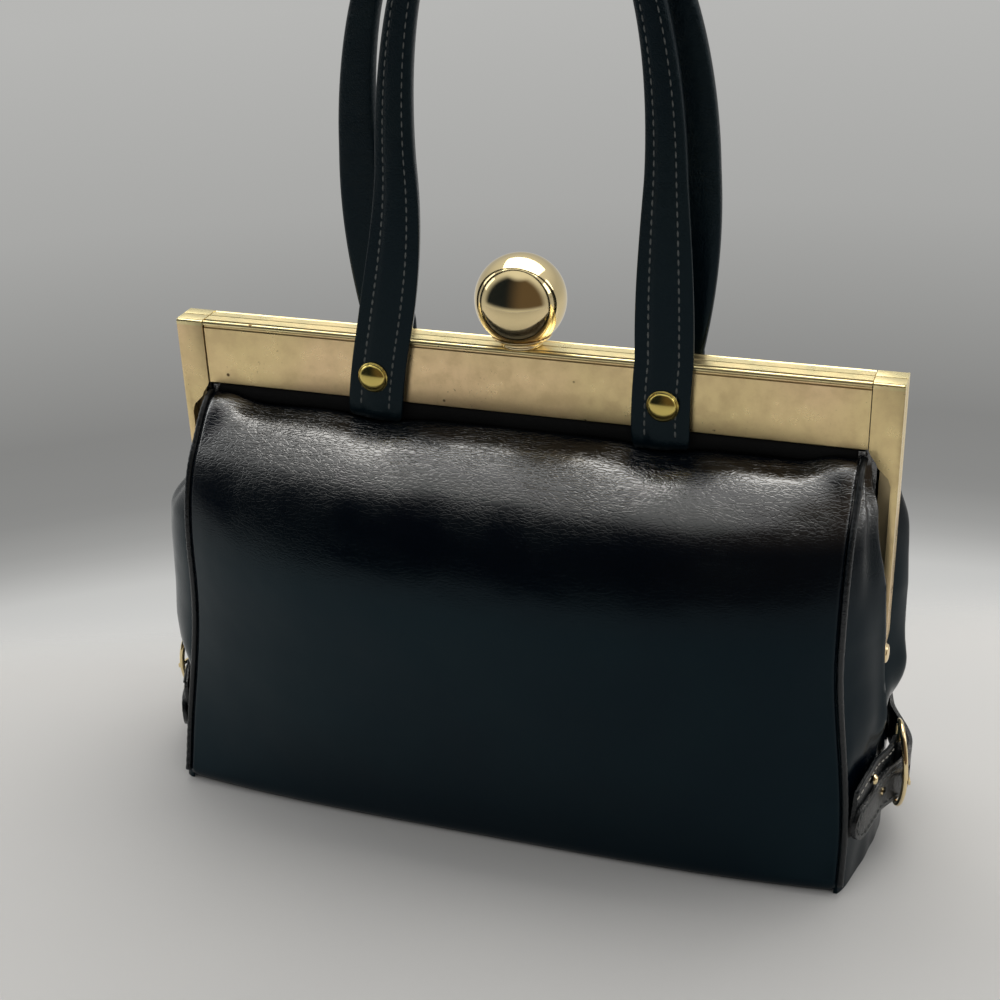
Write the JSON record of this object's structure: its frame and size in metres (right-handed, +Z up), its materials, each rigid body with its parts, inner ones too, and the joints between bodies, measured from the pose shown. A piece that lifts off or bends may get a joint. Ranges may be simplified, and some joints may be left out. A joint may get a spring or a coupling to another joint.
{
  "type": "frame handbag",
  "caption": "Structured leather frame handbag: plated hinged frame with a large ball clasp, upright riveted strap handles, piped side gussets and buckled side belts.",
  "frame": {"origin": "centre of the bottom, on the surface the bag stands on", "axes": "+X along the frame to the right seen from the front, +Y to the rear, +Z up"},
  "size_m": [0.3082, 0.1174, 0.3589],
  "materials": {
    "champagne_gilt": "satin champagne gilt with light tarnish",
    "polished_gilt": "polished gilt",
    "frame_steel": "olive-gold washed steel",
    "black_leather": "glossy black leatherette with fine crease grain",
    "handle_leather": "semi-gloss black leatherette, stitched",
    "piping_leather": "glossy black",
    "lining_cloth": "woven lining",
    "board": "grey board"
  },
  "bodies": {
    "root": {"front_panel": "black_leather", "rear_panel": "black_leather", "front_piping": "piping_leather", "rear_piping": "piping_leather", "base_panel": "black_leather", "base_board": "board", "left_gusset": "black_leather", "right_gusset": "black_leather", "left_gusset_folds": "black_leather", "right_gusset_folds": "black_leather", "front_stiffener": "board", "rear_stiffener": "board", "lining": "lining_cloth", "inner_pocket": "lining_cloth", "left_belt_band": "handle_leather", "right_belt_band": "handle_leather", "left_belt_strap": "handle_leather", "right_belt_strap": "handle_leather", "left_belt_rivet": "polished_gilt", "right_belt_rivet": "polished_gilt", "belt_eyelets": "polished_gilt", "hinge_rivets": "polished_gilt", "hinge_washers": "frame_steel"},
    "front_half": {"front_frame": "frame_steel", "front_plate": "champagne_gilt", "front_left_arm_cover": "champagne_gilt", "front_right_arm_cover": "champagne_gilt", "clasp_ball": "polished_gilt", "clasp_cup": "polished_gilt", "clasp_stud": "polished_gilt", "front_handle_ends": "handle_leather", "front_handle_rivets": "polished_gilt", "front_rivet_washers": "frame_steel", "front_binding": "piping_leather", "front_facing": "black_leather", "front_shoulder": "black_leather", "front_upper_piping": "piping_leather"},
    "rear_half": {"rear_frame": "frame_steel", "rear_plate": "champagne_gilt", "rear_left_arm_cover": "champagne_gilt", "rear_right_arm_cover": "champagne_gilt", "catch_spring": "frame_steel", "catch_rivets": "frame_steel", "rear_handle_ends": "handle_leather", "rear_handle_rivets": "polished_gilt", "rear_rivet_washers": "frame_steel", "rear_binding": "piping_leather", "rear_facing": "black_leather", "rear_shoulder": "black_leather", "rear_upper_piping": "piping_leather"},
    "front_grip": {"front_handle": "handle_leather"},
    "rear_grip": {"rear_handle": "handle_leather"},
    "left_ring": {"left_buckle": "polished_gilt", "left_buckle_prong": "polished_gilt"},
    "right_ring": {"right_buckle": "polished_gilt", "right_buckle_prong": "polished_gilt"}
  },
  "joints": [
    {"name": "front_half_open", "type": "hinge", "parent": "root", "child": "front_half", "pos_m": [0, 0, 0.075], "axis": [1, 0, 0], "range_deg": [0, 30], "deforming": ["left_gusset_folds", "right_gusset_folds"]},
    {"name": "rear_half_open", "type": "hinge", "parent": "root", "child": "rear_half", "pos_m": [0, 0, 0.075], "axis": [1, 0, 0], "range_deg": [-30, 0]},
    {"name": "front_handle_fold", "type": "hinge", "parent": "front_half", "child": "front_grip", "pos_m": [0, -0.011, 0.1875], "axis": [1, 0, 0], "range_deg": [0, 80], "stiffness_Nm_per_rad": 0.25},
    {"name": "rear_handle_fold", "type": "hinge", "parent": "rear_half", "child": "rear_grip", "pos_m": [0, 0.011, 0.1875], "axis": [-1, 0, 0], "range_deg": [0, 80], "stiffness_Nm_per_rad": 0.25},
    {"name": "left_buckle_swing", "type": "hinge", "parent": "root", "child": "left_ring", "pos_m": [-0.14804, -0.006, 0.031], "axis": [0, 0, 1], "range_deg": [-2, 2]},
    {"name": "right_buckle_swing", "type": "hinge", "parent": "root", "child": "right_ring", "pos_m": [0.14804, -0.006, 0.031], "axis": [0, 0, 1], "range_deg": [-2, 2]}
  ],
  "couplings": [
    {"joint": "rear_half_open", "follows": "front_half_open", "ratio": -1}
  ]
}
